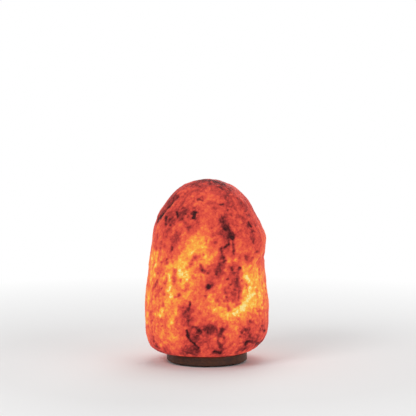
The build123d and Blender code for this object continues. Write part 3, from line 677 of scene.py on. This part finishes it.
class Finish:
    """A material made of nodes, or a world, which is made of them in the same way."""

    def __init__(self, name, owner=None):
        self.owner = owner or bpy.data.materials.new(name)
        self.owner.use_nodes = True
        self.tree = self.owner.node_tree
        self.tree.nodes.clear()

    @cached_property
    def place(self):
        """The Object coordinate in millimetres, so that a pattern is fixed to its piece."""
        place = self.node("TexCoord", {}, {}, "Object")
        return self.node("VectorMath", {"operation": "SCALE"}, {0: place, "Scale": 1 / MM})

    def node(self, kind, settings, inputs, output=0):
        """Adds a shader node: first its settings, then its inputs, by name or number. Gives one output."""
        node = self.tree.nodes.new("ShaderNode" + kind)
        for name, value in settings.items():
            if name == "stops":
                set_stops(node.color_ramp, value)
            else:
                setattr(node, name, value)
        for name, value in inputs.items():
            if isinstance(value, Wire):
                self.tree.links.new(value.socket, node.inputs[name])
            else:
                node.inputs[name].default_value = value
        return Wire(self, node.outputs[output])

    def stretched(self, x=1.0, y=1.0, z=1.0):
        """The place with each axis multiplied, so that a pattern's cells become longer or shorter."""
        return self.node("VectorMath", {"operation": "MULTIPLY"}, {0: self.place, 1: (x, y, z)})

    def noise(self, size, detail=3.0, roughness=0.55, place=None):
        """A cloud from about 0 to 1, with features of this size in millimetres."""
        inputs = {"Vector": place or self.place, "Scale": 1 / size}
        return self.node("TexNoise", {}, inputs | {"Detail": detail, "Roughness": roughness})

    def cells(self, size, feature="F1", place=None, output="Distance"):
        """Distance to the middle of the nearest cell of this size in mm, or to its edge, or its colour."""
        inputs = {"Vector": place or self.place, "Scale": 1 / size}
        return self.node("TexVoronoi", {"feature": feature}, inputs, output)

    def ramp(self, value, *stops):
        """Colours laid along a value: each stop is (place from 0 to 1, (red, green, blue))."""
        return self.node("ValToRGB", {"stops": stops}, {"Fac": value})

    def blend(self, share, first, second):
        """The first colour where the share is 0, and the second where it is 1."""
        inputs = {"Factor": share, 6: opaque(first), 7: opaque(second)}
        return self.node("Mix", {"data_type": "RGBA"}, inputs, 2)

    def bump(self, height, distance, strength=1.0):
        """Small relief: the height in units of the distance, which is in millimetres."""
        return self.node("Bump", {}, {"Height": height, "Distance": distance * MM, "Strength": strength})

    def end(self, shader, kind="OutputMaterial"):
        """Joins a shader to the end of the tree, and gives the material or world that it belongs to."""
        node = self.tree.nodes.new("ShaderNode" + kind)
        self.tree.links.new(shader.socket, node.inputs["Surface"])
        return self.owner

    def surface(self, **inputs):
        """The finished surface. An input's name is the shader socket's, with _ for each space."""
        named = {name.replace("_", " "): opaque(value) for name, value in inputs.items()}
        return self.end(self.node("BsdfPrincipled", {}, named))


def opaque(colour):
    """A colour written as three numbers, with the fourth that sockets ask for."""
    return (*colour, 1.0) if isinstance(colour, tuple) and len(colour) == 3 else colour


def set_stops(ramp, stops):
    """Gives a colour ramp these stops, in order."""
    ramp.elements.remove(ramp.elements[-1])
    ramp.elements[0].position, ramp.elements[0].color = stops[0][0], opaque(stops[0][1])
    for place, colour in stops[1:]:
        ramp.elements.new(place).color = opaque(colour)


# %% [markdown]
# ## Lit rock salt
# Light that has come a long way through this salt has lost its blue and green: the salt looks red where
# it is thick, orange where it is thinner, and nearly white where it is clear. So one ramp from the glow
# gives the colour. Most of it is given off as light, and a small share of the same colour is the base
# colour under the room's light. That base colour is the salt's own tone and also painted bulb light, since
# it is lighter wherever the glow is stronger. Finer grain than the mesh can hold is added here: crystals of
# 1 to 5 mm, each of its own tone and with a faint dark edge, and thin veins.

# %% The salt's finish
EMITTED, REFLECTED = 0.90, 0.12
CRYSTAL_SIZE = 4.5


def salt_finish():
    """Colour and light from the glow and clay attributes, broken up by crystal grain."""
    salt = Finish("lit_rock_salt")
    glow = salt.node("Attribute", {"attribute_name": "glow"}, {}, "Fac")
    clay = salt.node("Attribute", {"attribute_name": "clay"}, {}, "Fac")
    drift = salt.noise(9, detail=2)
    wavy = salt.node("VectorMath", {"operation": "ADD"}, {0: salt.place, 1: salt.noise(6, detail=2) * 3.0})
    mottle = salt.noise(5.5, detail=4, roughness=0.58) - 0.5
    speckle = salt.noise(1.5, detail=4, roughness=0.65) - 0.5
    crumb = salt.noise(1.7, detail=4, roughness=0.6)
    crystal_edge = salt.cells(CRYSTAL_SIZE, "DISTANCE_TO_EDGE", wavy).over(0.0, 0.16)
    crystal_colour = salt.cells(CRYSTAL_SIZE, place=wavy, output="Color")
    crystal_tone = salt.node("SeparateColor", {}, {"Color": crystal_colour}) - 0.5
    crystal_face = salt.cells(2.6, "F1", wavy)
    veined = salt.noise(12, detail=4, roughness=0.6) - 0.5
    vein = veined.maths("ABSOLUTE", veined).over(0.03, 0.0)
    grain = mottle * 0.40 + crystal_tone * 0.11 + speckle * 0.12
    grain = grain + (crystal_edge - 1) * 0.05 - crystal_face * 0.06 - vein * 0.05 + 0.05
    heat = glow + grain * (0.5 + drift) - clay * (0.50 + 0.90 * crumb)
    colour = salt.ramp(heat, (0.00, (0.016, 0.003, 0.004)), (0.14, (0.105, 0.010, 0.011)),
                       (0.27, (0.260, 0.027, 0.025)), (0.39, (0.500, 0.047, 0.038)),
                       (0.50, (0.700, 0.074, 0.050)), (0.61, (0.830, 0.114, 0.056)),
                       (0.71, (0.905, 0.192, 0.058)), (0.80, (0.930, 0.315, 0.056)),
                       (0.88, (0.945, 0.450, 0.058)), (0.94, (0.945, 0.590, 0.110)),
                       (1.00, (0.935, 0.750, 0.290)))
    # painted light: the base colour is the glow's colour at a small share, so it is lighter where the bulb
    # shines through more
    painted_glow_base = salt.blend(REFLECTED, (0.0, 0.0, 0.0), colour)
    earth = salt.blend(clay * 0.8, painted_glow_base, (0.070, 0.021, 0.021))
    height = mottle * 1.2 + speckle * 0.6 + crystal_tone * 0.3 - (1 - crystal_edge) * 0.25
    return salt.surface(Base_Color=earth, Emission_Color=colour, Emission_Strength=EMITTED,
                        Roughness=0.55 + 0.3 * mottle + 0.1 * crystal_face + 0.3 * clay,
                        Normal=salt.bump(height, 0.5), Specular_IOR_Level=0.07)


salt_block.data.materials.append(salt_finish())
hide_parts("salt_crystal")
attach(salt_block, "root")

# %% [markdown]
# ## Wood, rubber and nylon
# The base is turned from beech and stained nearly black. Beech has straight grain with short dark flecks,
# so its noise is stretched along the grain, and the stain sits darker in the pores. The feet are pitted
# rubber with dust on it in patches, and the plugs are grey nylon, slightly cloudy.

# %% Finishes of the base
def stained_beech():
    wood = Finish("stained_beech")
    along = wood.stretched(x=0.07)
    grain = wood.noise(2.2, detail=6, roughness=0.6, place=along)
    rings = wood.noise(9, detail=2, place=wood.stretched(x=0.05))
    flecks = wood.noise(0.9, detail=2, place=wood.stretched(x=0.12)).over(0.60, 0.68)
    tone = grain * 0.6 + rings * 0.5 - flecks * 0.25
    colour = wood.ramp(tone, (0.25, (0.017, 0.006, 0.003)), (0.5, (0.050, 0.018, 0.008)),
                       (0.75, (0.100, 0.037, 0.015)))
    worn = wood.noise(30, detail=4).over(0.45, 0.75)
    return wood.surface(Base_Color=colour, Roughness=0.46 + 0.18 * grain + 0.14 * worn,
                        Coat_Weight=0.08, Coat_Roughness=0.3, Specular_IOR_Level=0.3,
                        Normal=wood.bump(grain - flecks * 1.5, 0.12))


def dusty_rubber():
    rubber = Finish("dusty_rubber")
    pits = rubber.noise(0.7, detail=4, roughness=0.6)
    dust = rubber.noise(4, detail=5, roughness=0.65).over(0.45, 0.8)
    colour = rubber.blend(dust * 0.5, (0.013, 0.013, 0.014), (0.075, 0.068, 0.06))
    return rubber.surface(Base_Color=colour, Roughness=0.75 + 0.15 * pits, Normal=rubber.bump(pits, 0.08))


def grey_nylon():
    nylon = Finish("grey_nylon")
    cloudy = nylon.noise(5, detail=3)
    skin = nylon.noise(0.6, detail=3)
    colour = nylon.ramp(cloudy, (0.3, (0.19, 0.20, 0.19)), (0.7, (0.27, 0.28, 0.27)))
    return nylon.surface(Base_Color=colour, Roughness=0.45 + 0.2 * skin, Normal=nylon.bump(skin, 0.03))


# %% [markdown]
# ## Metals
# Six metals are told apart by colour and by how they were finished: zinc plate is cloudy with a yellowish
# tinge, brass is warm and brown in places, pressed spring steel keeps the fine lines of rolling along its
# length, solder is dull and dimpled, nickel plate is smooth and warm grey, and lead wire a little coppery.

# %% Finishes of the metal pieces
def metal(name, colours, cloud_size, roughness, roughness_spread, relief, relief_size, stretch=(1, 1, 1)):
    """A metal whose colour and gloss drift in clouds, with fine relief that may be stretched into lines."""
    plate = Finish(name)
    clouds = plate.noise(cloud_size, detail=4, roughness=0.6)
    lines = plate.noise(relief_size, detail=4, roughness=0.6, place=plate.stretched(*stretch))
    stops = [(0.3 + 0.4 * k / (len(colours) - 1), colour) for k, colour in enumerate(colours)]
    return plate.surface(Base_Color=plate.ramp(clouds * 0.75 + lines * 0.25, *stops), Metallic=1.0,
                         Roughness=roughness + roughness_spread * (clouds + lines - 1),
                         Normal=plate.bump(lines, relief))


def zinc_plate():
    return metal("zinc_plate", [(0.42, 0.42, 0.38), (0.58, 0.58, 0.56), (0.66, 0.65, 0.55)],
                 3.5, 0.36, 0.25, 0.02, 0.5)


def tarnished_brass():
    return metal("tarnished_brass", [(0.36, 0.22, 0.08), (0.62, 0.42, 0.15), (0.74, 0.54, 0.22)],
                 5.0, 0.34, 0.3, 0.02, 0.6)


def rolled_spring_steel():
    return metal("rolled_spring_steel", [(0.25, 0.26, 0.28), (0.42, 0.43, 0.45), (0.52, 0.52, 0.52)],
                 7.0, 0.38, 0.25, 0.02, 0.35, stretch=(1, 1, 0.08))


def dull_solder():
    return metal("dull_solder", [(0.36, 0.36, 0.37), (0.50, 0.50, 0.51)], 1.2, 0.5, 0.3, 0.08, 0.8)


def nickel_plate():
    return metal("nickel_plate", [(0.44, 0.41, 0.36), (0.60, 0.57, 0.52), (0.68, 0.66, 0.62)],
                 6.0, 0.24, 0.25, 0.015, 0.9)


def lead_wire():
    return metal("lead_wire", [(0.40, 0.34, 0.29), (0.56, 0.52, 0.46)], 1.5, 0.35, 0.2, 0.01, 0.3)


# %% [markdown]
# ## Mouldings, ceramic and glass
# The lampholder is black thermoset, which takes a slight orange-peel skin from its mould and shows pale
# mineral flecks. The contact block is fired steatite, off-white with a few iron specks. The bulb's cap is
# held by a gritty cement, and its contact stands in black glass. The bulb's other glass is clear, and gives
# off a little warm light of its own, since the lamp is lit. The filament gives off the most.

# %% Finishes of the holder's mouldings and the bulb's glass
def black_moulding(name, base, peel_size, gloss):
    """Black moulded plastic: orange peel, a few pale flecks, and dust that dulls it in patches."""
    plastic = Finish(name)
    peel = plastic.noise(peel_size, detail=3)
    flecks = plastic.noise(0.45, detail=1).over(0.68, 0.74)
    dust = plastic.noise(8, detail=5, roughness=0.65).over(0.4, 0.85)
    colour = plastic.blend(dust * 0.35 + flecks * 0.5, base, (0.10, 0.095, 0.088))
    return plastic.surface(Base_Color=colour, Roughness=gloss + 0.1 * peel + 0.22 * dust,
                           Normal=plastic.bump(peel, 0.03))


def white_ceramic():
    ceramic = Finish("fired_steatite")
    specks = ceramic.cells(1.7).over(0.10, 0.04)
    warm = ceramic.noise(6, detail=4)
    pale = ceramic.ramp(warm, (0.3, (0.70, 0.67, 0.60)), (0.7, (0.79, 0.77, 0.72)))
    pits = ceramic.noise(0.5, detail=4)
    return ceramic.surface(Base_Color=ceramic.blend(specks * 0.5, pale, (0.30, 0.22, 0.15)),
                           Roughness=0.38 + 0.2 * pits, Normal=ceramic.bump(pits, 0.03))


def cap_cement():
    cement = Finish("cap_cement")
    grit = cement.noise(0.5, detail=6, roughness=0.7)
    colour = cement.ramp(grit, (0.3, (0.26, 0.23, 0.19)), (0.7, (0.46, 0.42, 0.35)))
    return cement.surface(Base_Color=colour, Roughness=0.85 + 0.1 * grit, Normal=cement.bump(grit, 0.12))


def black_glass():
    glass = Finish("black_glass")
    swirl = glass.noise(2.5, detail=3)
    colour = glass.ramp(swirl, (0.3, (0.006, 0.006, 0.009)), (0.7, (0.028, 0.026, 0.036)))
    return glass.surface(Base_Color=colour, Roughness=0.08 + 0.12 * swirl, Normal=glass.bump(swirl, 0.03))


def clear_glass(name, light):
    """Clear glass, slightly uneven, which gives off a little light of its own."""
    glass = Finish(name)
    ripple = glass.noise(7, detail=2)
    haze = glass.noise(14, detail=3).over(0.4, 0.8)
    glowing = glass.blend(haze, tuple(0.75 * part for part in light), light)
    return glass.surface(Base_Color=(0.97, 0.95, 0.92), Roughness=0.02 + 0.05 * haze, IOR=1.5,
                         Transmission_Weight=1.0, Emission_Color=glowing, Emission_Strength=0.14,
                         Normal=glass.bump(ripple, 0.05))


def hot_filament():
    filament = Finish("hot_filament")
    hotter = filament.noise(2.5, detail=2)
    light = filament.ramp(hotter, (0.35, (1.0, 0.62, 0.22)), (0.65, (1.0, 0.82, 0.50)))
    return filament.surface(Base_Color=(0.05, 0.05, 0.05), Metallic=1.0, Roughness=0.4 + 0.2 * hotter,
                            Emission_Color=light, Emission_Strength=3.0)


# %% [markdown]
# ## Threads
# The construction model has plain sleeves where the bulb's cap and the shell that it screws into have a
# rolled thread. Here both get the real one: a sheet whose radius swells and shrinks as it winds up, right
# handed, 2.82 mm a turn: r = crest + swell (cos(2πz / lead - angle) - 1). Both use the same angle, so the
# bulb's crests lie in the shell's hollows with 0.15 mm between them, and as the bulb turns once it rises by
# one lead and they still do.

# %% A rolled sheet with a thread
THREAD_LEAD, THREAD_SWELL = 2.82, 0.3
PROFILE_STEP, RUN_OUT, RUN_IN = 0.28, 0.9, 0.6


def ring_mesh(name, grid):
    """A closed mesh from grid[row, column] whose rows and columns both run round, as on a tube's loop."""
    rows, columns, _ = grid.shape
    number = np.arange(rows * columns).reshape(rows, columns)
    below, beside = np.roll(number, -1, axis=0), np.roll(number, -1, axis=1)
    faces = np.stack([number, beside, np.roll(below, -1, axis=1), below], axis=-1).reshape(-1, 4)
    points = grid.reshape(-1, 3)
    first, second, third, fourth = (points[faces[:, k]] for k in range(4))
    if np.einsum("ij,ij->", first, np.cross(second, third) + np.cross(third, fourth)) < 0:
        faces = faces[:, ::-1]
    return mesh_piece(name, points, faces.tolist())


def sheet_profile(corners, spacing):
    """Points along straight runs between (radius, height) corners, no further apart than the spacing."""
    ends = np.array([*corners, corners[0]], dtype=float)
    runs = []
    for start, end in zip(ends[:-1], ends[1:]):
        count = max(1, int(np.ceil(np.linalg.norm(end - start) / spacing)))
        runs.append(start + (end - start) * np.arange(count)[:, None] / count)
    return np.concatenate(runs)


def rolled_sheet(name, corners, thread_from, thread_to, columns=96):
    """Turns a closed profile, and lets its radius wind with the thread between two heights in mm."""
    profile = sheet_profile(corners, PROFILE_STEP)
    angle = np.linspace(0, TURN, columns, endpoint=False)
    radius, height = profile[:, :1], profile[:, 1:]
    runs_out = (smooth_step(thread_from - RUN_OUT, thread_from + RUN_IN, height)
                * smooth_step(thread_to + RUN_OUT, thread_to - RUN_IN, height))
    wave = THREAD_SWELL * (np.cos(TURN * height / THREAD_LEAD - angle) - 1) * runs_out
    return ring_mesh(name, around(radius + wave, angle, height) * MM)


cap_low, cap_high = (np.array(corner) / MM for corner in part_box("bulb_cap"))
shell_low, shell_high = (np.array(corner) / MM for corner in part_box("screw_shell"))
CAP_START, CAP_END, SHELL_START, SHELL_END = cap_low[2], cap_high[2], shell_low[2], shell_high[2]
CREST, LIP, WALL = 6.9, cap_high[0], 0.35
threaded_cap = rolled_sheet("threaded_cap", [
    (5.75, CAP_START), (6.4, CAP_START), (6.75, CAP_START + 0.15), (CREST, CAP_START + 0.6),
    (CREST, CAP_END - 6), (7.2, CAP_END - 5.2), (7.9, CAP_END - 4.4), (8.15, CAP_END - 3.6),
    (8.12, CAP_END - 0.9), (LIP, CAP_END - 0.5), (LIP, CAP_END - 0.12), (8.1, CAP_END),
    (8.1 - WALL, CAP_END - 0.1), (8.15 - WALL, CAP_END - 3.5), (7.9 - WALL, CAP_END - 4.1),
    (7.2 - WALL, CAP_END - 4.9), (CREST - WALL, CAP_END - 5.6), (CREST - WALL, CAP_START + 0.9),
    (5.75, CAP_START + 0.9)], CAP_START + 1.6, CAP_END - 8.8)
threaded_shell = rolled_sheet("threaded_shell", [
    (7.05, SHELL_START), (9.3, SHELL_START), (9.45, SHELL_START + 0.15), (9.45, SHELL_START + 0.4),
    (9.3, SHELL_START + 0.5), (7.8, SHELL_START + 0.5), (7.55, SHELL_START + 0.75),
    (7.55, SHELL_END - 0.1), (7.45, SHELL_END), (7.15, SHELL_END), (7.05, SHELL_END - 0.1)],
    SHELL_START + 2.2, SHELL_END - 1.6)

for piece, node, slot_name, body, finish in [
        (threaded_cap, "bulb_cap", "nickel_plate", "bulb", nickel_plate()),
        (threaded_shell, "screw_shell", "brass", "holder", tarnished_brass())]:
    piece.data.materials.append(finish)
    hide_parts(node)
    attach(piece, body)

# %% [markdown]
# ## The filament
# The filament is a very fine coil of tungsten, slung in an arc between the two lead wires. The coil is a
# tube along a helix: the arc gives the middle of the coil, the coil's own turns give the middle of the
# wire, and a ring of six points round that gives its surface.

# %% A coil slung between two wires
FILAMENT_TURNS, COIL_RADIUS, WIRE_RADIUS = 30, 0.33, 0.12
STEPS_A_TURN = 14
ARC_HALF, ARC_RISE = 6.6, 3.5


def filament_coil():
    """A tube round c(t) + R (n(t) cos πk(t+1) + y sin πk(t+1)): the arc c, its normal n and k turns."""
    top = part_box("bulb_filament")[1][2] / MM - COIL_RADIUS - WIRE_RADIUS
    radius = (ARC_HALF ** 2 + ARC_RISE ** 2) / (2 * ARC_RISE)
    reach = np.arcsin(ARC_HALF / radius)
    t = np.linspace(-1, 1, FILAMENT_TURNS * STEPS_A_TURN + 1)[:, None]
    normal = np.concatenate([np.sin(reach * t), 0 * t, np.cos(reach * t)], axis=1)
    middle = np.array([0, 0, top - radius]) + radius * normal
    across = np.array([0, 1, 0])
    turning = pi * FILAMENT_TURNS * (t + 1)
    outward = normal * np.cos(turning) + across * np.sin(turning)
    wire = middle + COIL_RADIUS * outward
    along = np.gradient(wire, axis=0)
    along /= np.linalg.norm(along, axis=1, keepdims=True)
    side = np.cross(along, outward)
    ring = np.linspace(0, TURN, 6, endpoint=False)
    thick = np.ones(len(t))
    thick[[0, -1]] = 0
    grid = (wire[:, None] + WIRE_RADIUS * thick[:, None, None]
            * (outward[:, None] * np.cos(ring)[:, None] + side[:, None] * np.sin(ring)[:, None]))
    return round_mesh("filament_coil", grid * MM)


filament = filament_coil()
filament.data.materials.append(hot_filament())
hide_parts("bulb_filament")
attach(filament, "bulb")

# %% [markdown]
# ## Finishes for the pieces that keep their construction shape
# Every other piece already has its right shape in the construction model, and only needs its finish.

# %% Give the other pieces their finishes
BULB_LIGHT = (1.0, 0.58, 0.20)
mouldings = black_moulding("thermoset", (0.012, 0.011, 0.011), 1.1, 0.26)
nylon_parts = black_moulding("black_nylon", (0.016, 0.016, 0.017), 0.6, 0.42)
brass_parts, zinc_parts = tarnished_brass(), zinc_plate()
FINISHES = {
    "wood_base": stained_beech(),
    "base_screws": zinc_parts,
    "screw_plugs": grey_nylon(),
    "rubber_feet": dusty_rubber(),
    "cord_gland": nylon_parts,
    "cord_grip_screw": nylon_parts,
    "holder_cap": mouldings,
    "contact_block": white_ceramic(),
    "terminals": brass_parts,
    "terminal_screws": zinc_parts,
    "holder_skirt": mouldings,
    "centre_contact": brass_parts,
    "spring_clip": rolled_spring_steel(),
    "clip_nut": mouldings,
    "bulb_contact": dull_solder(),
    "bulb_insulator": black_glass(),
    "cap_cement": cap_cement(),
    "bulb_glass": clear_glass("lit_envelope", BULB_LIGHT),
    "bulb_stem": clear_glass("stem_glass", BULB_LIGHT),
    "bulb_wires": lead_wire(),
}
for node_name, finish in FINISHES.items():
    node_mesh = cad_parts[node_name].data
    node_mesh.materials.clear()
    node_mesh.materials.append(finish)
print("finished", len(FINISHES), "pieces of the construction model")

# %% [markdown]
# ## Floor, light and camera
# The lamp stands on a pale floor in an even, soft light, so that its own colours show as they are. The
# floor fades into a white distance, which is seen straight, in a gloss or through glass. The rays that
# carry light to a dull surface find a plain floor and a dimmer sky instead, so that the white doesn't
# brighten it. The floor rides on the holder: when the holder is drawn down out of the block, the floor
# goes down with it, as if the lamp were lifted.

# %% The floor and the white distance
FLOOR_HALF, FLOOR_GREY = 6.0, 0.80
NEAR, FAR = 320, 900            # the floor turns white between these distances from the lamp, in mm
SKY_LIGHT = 0.42
WHITE = (1.0, 1.0, 1.0, 1.0)


def shows(finish):
    """1 for the rays that show what is behind the lamp: straight, in a gloss or through glass."""
    straight, glossy, through = (finish.node("LightPath", {}, {}, f"Is {kind} Ray")
                                 for kind in ("Camera", "Glossy", "Transmission"))
    return straight.maths("MAXIMUM", straight, straight.maths("MAXIMUM", glossy, through))


def pale_floor_finish():
    """Pale grey near the lamp, and further away plain white, for the rays that show it."""
    floor = Finish("pale_floor")
    away = floor.node("VectorMath", {"operation": "LENGTH"}, {0: floor.place}, "Value")
    near = floor.node("BsdfDiffuse", {}, {"Color": (FLOOR_GREY, FLOOR_GREY, FLOOR_GREY, 1.0)})
    white = floor.node("Emission", {}, {"Color": WHITE, "Strength": 1.0})
    far = away.over(NEAR, FAR) * shows(floor)
    return floor.end(floor.node("MixShader", {}, {"Fac": far, 1: near, 2: white}))


corners = FLOOR_HALF * np.array([(-1, -1, 0), (1, -1, 0), (1, 1, 0), (-1, 1, 0)])
floor_piece = mesh_piece("floor", corners, [(0, 1, 2, 3)])
floor_piece.data.materials.append(pale_floor_finish())
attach(floor_piece, "holder")

sky = Finish("white_distance", bpy.data.worlds.new("white_distance"))
strength = sky.node("MapRange", {}, {"Value": shows(sky), "To Min": SKY_LIGHT, "To Max": 1.0})
background = sky.node("Background", {}, {"Color": WHITE, "Strength": strength})
bpy.context.scene.world = sky.end(background, "OutputWorld")

# %% [markdown]
# Four large square lamps stand round the lamp, as in a studio. The key comes from the left of the camera,
# the fill is weaker and on its right, and the other two light the top and the back.

# %% Soft studio lamps
MIDDLE = (0, 0, 0.13)


def soft_lamp(name, place, size, power):
    """A square area lamp at a place in metres, facing the middle of the block; size is its side."""
    light = bpy.data.lights.new(name, "AREA")
    light.size, light.energy = size, power
    stand = bpy.data.objects.new(name, light)
    stand.location = place
    away = stand.location - type(stand.location)(MIDDLE)
    stand.rotation_euler = away.to_track_quat("Z", "Y").to_euler()
    bpy.context.collection.objects.link(stand)


soft_lamp("key", (-1.4, -1.7, 1.7), 1.2, 26)
soft_lamp("fill", (1.7, -1.3, 0.9), 1.4, 10)
soft_lamp("top", (0.2, 0.5, 2.1), 1.4, 14)
soft_lamp("back", (0.6, 2.1, 1.1), 1.2, 10)

# %% [markdown]
# The camera stands in front, 6 degrees above the level, with a long lens as for a catalogue picture.
# The width of its frame at the lamp sets the lens.

# %% The camera
FRAME_WIDTH, SENSOR_WIDTH, CLIP_END = 0.5976, 36.0, 50.0
camera = bpy.data.cameras.new("camera")
camera.sensor_width = SENSOR_WIDTH
camera.lens = SENSOR_WIDTH * VIEW_DISTANCE * MM / FRAME_WIDTH
camera.clip_end = CLIP_END
eye = bpy.data.objects.new("camera", camera)
eye.location = (looked_at - forward * VIEW_DISTANCE) * MM
eye.rotation_euler = (pi / 2 - VIEW_RISE, 0, 0)
bpy.context.collection.objects.link(eye)
bpy.context.scene.camera = eye
bpy.context.scene.view_settings.view_transform = "Standard"
print("lens", round(camera.lens, 1), "mm")
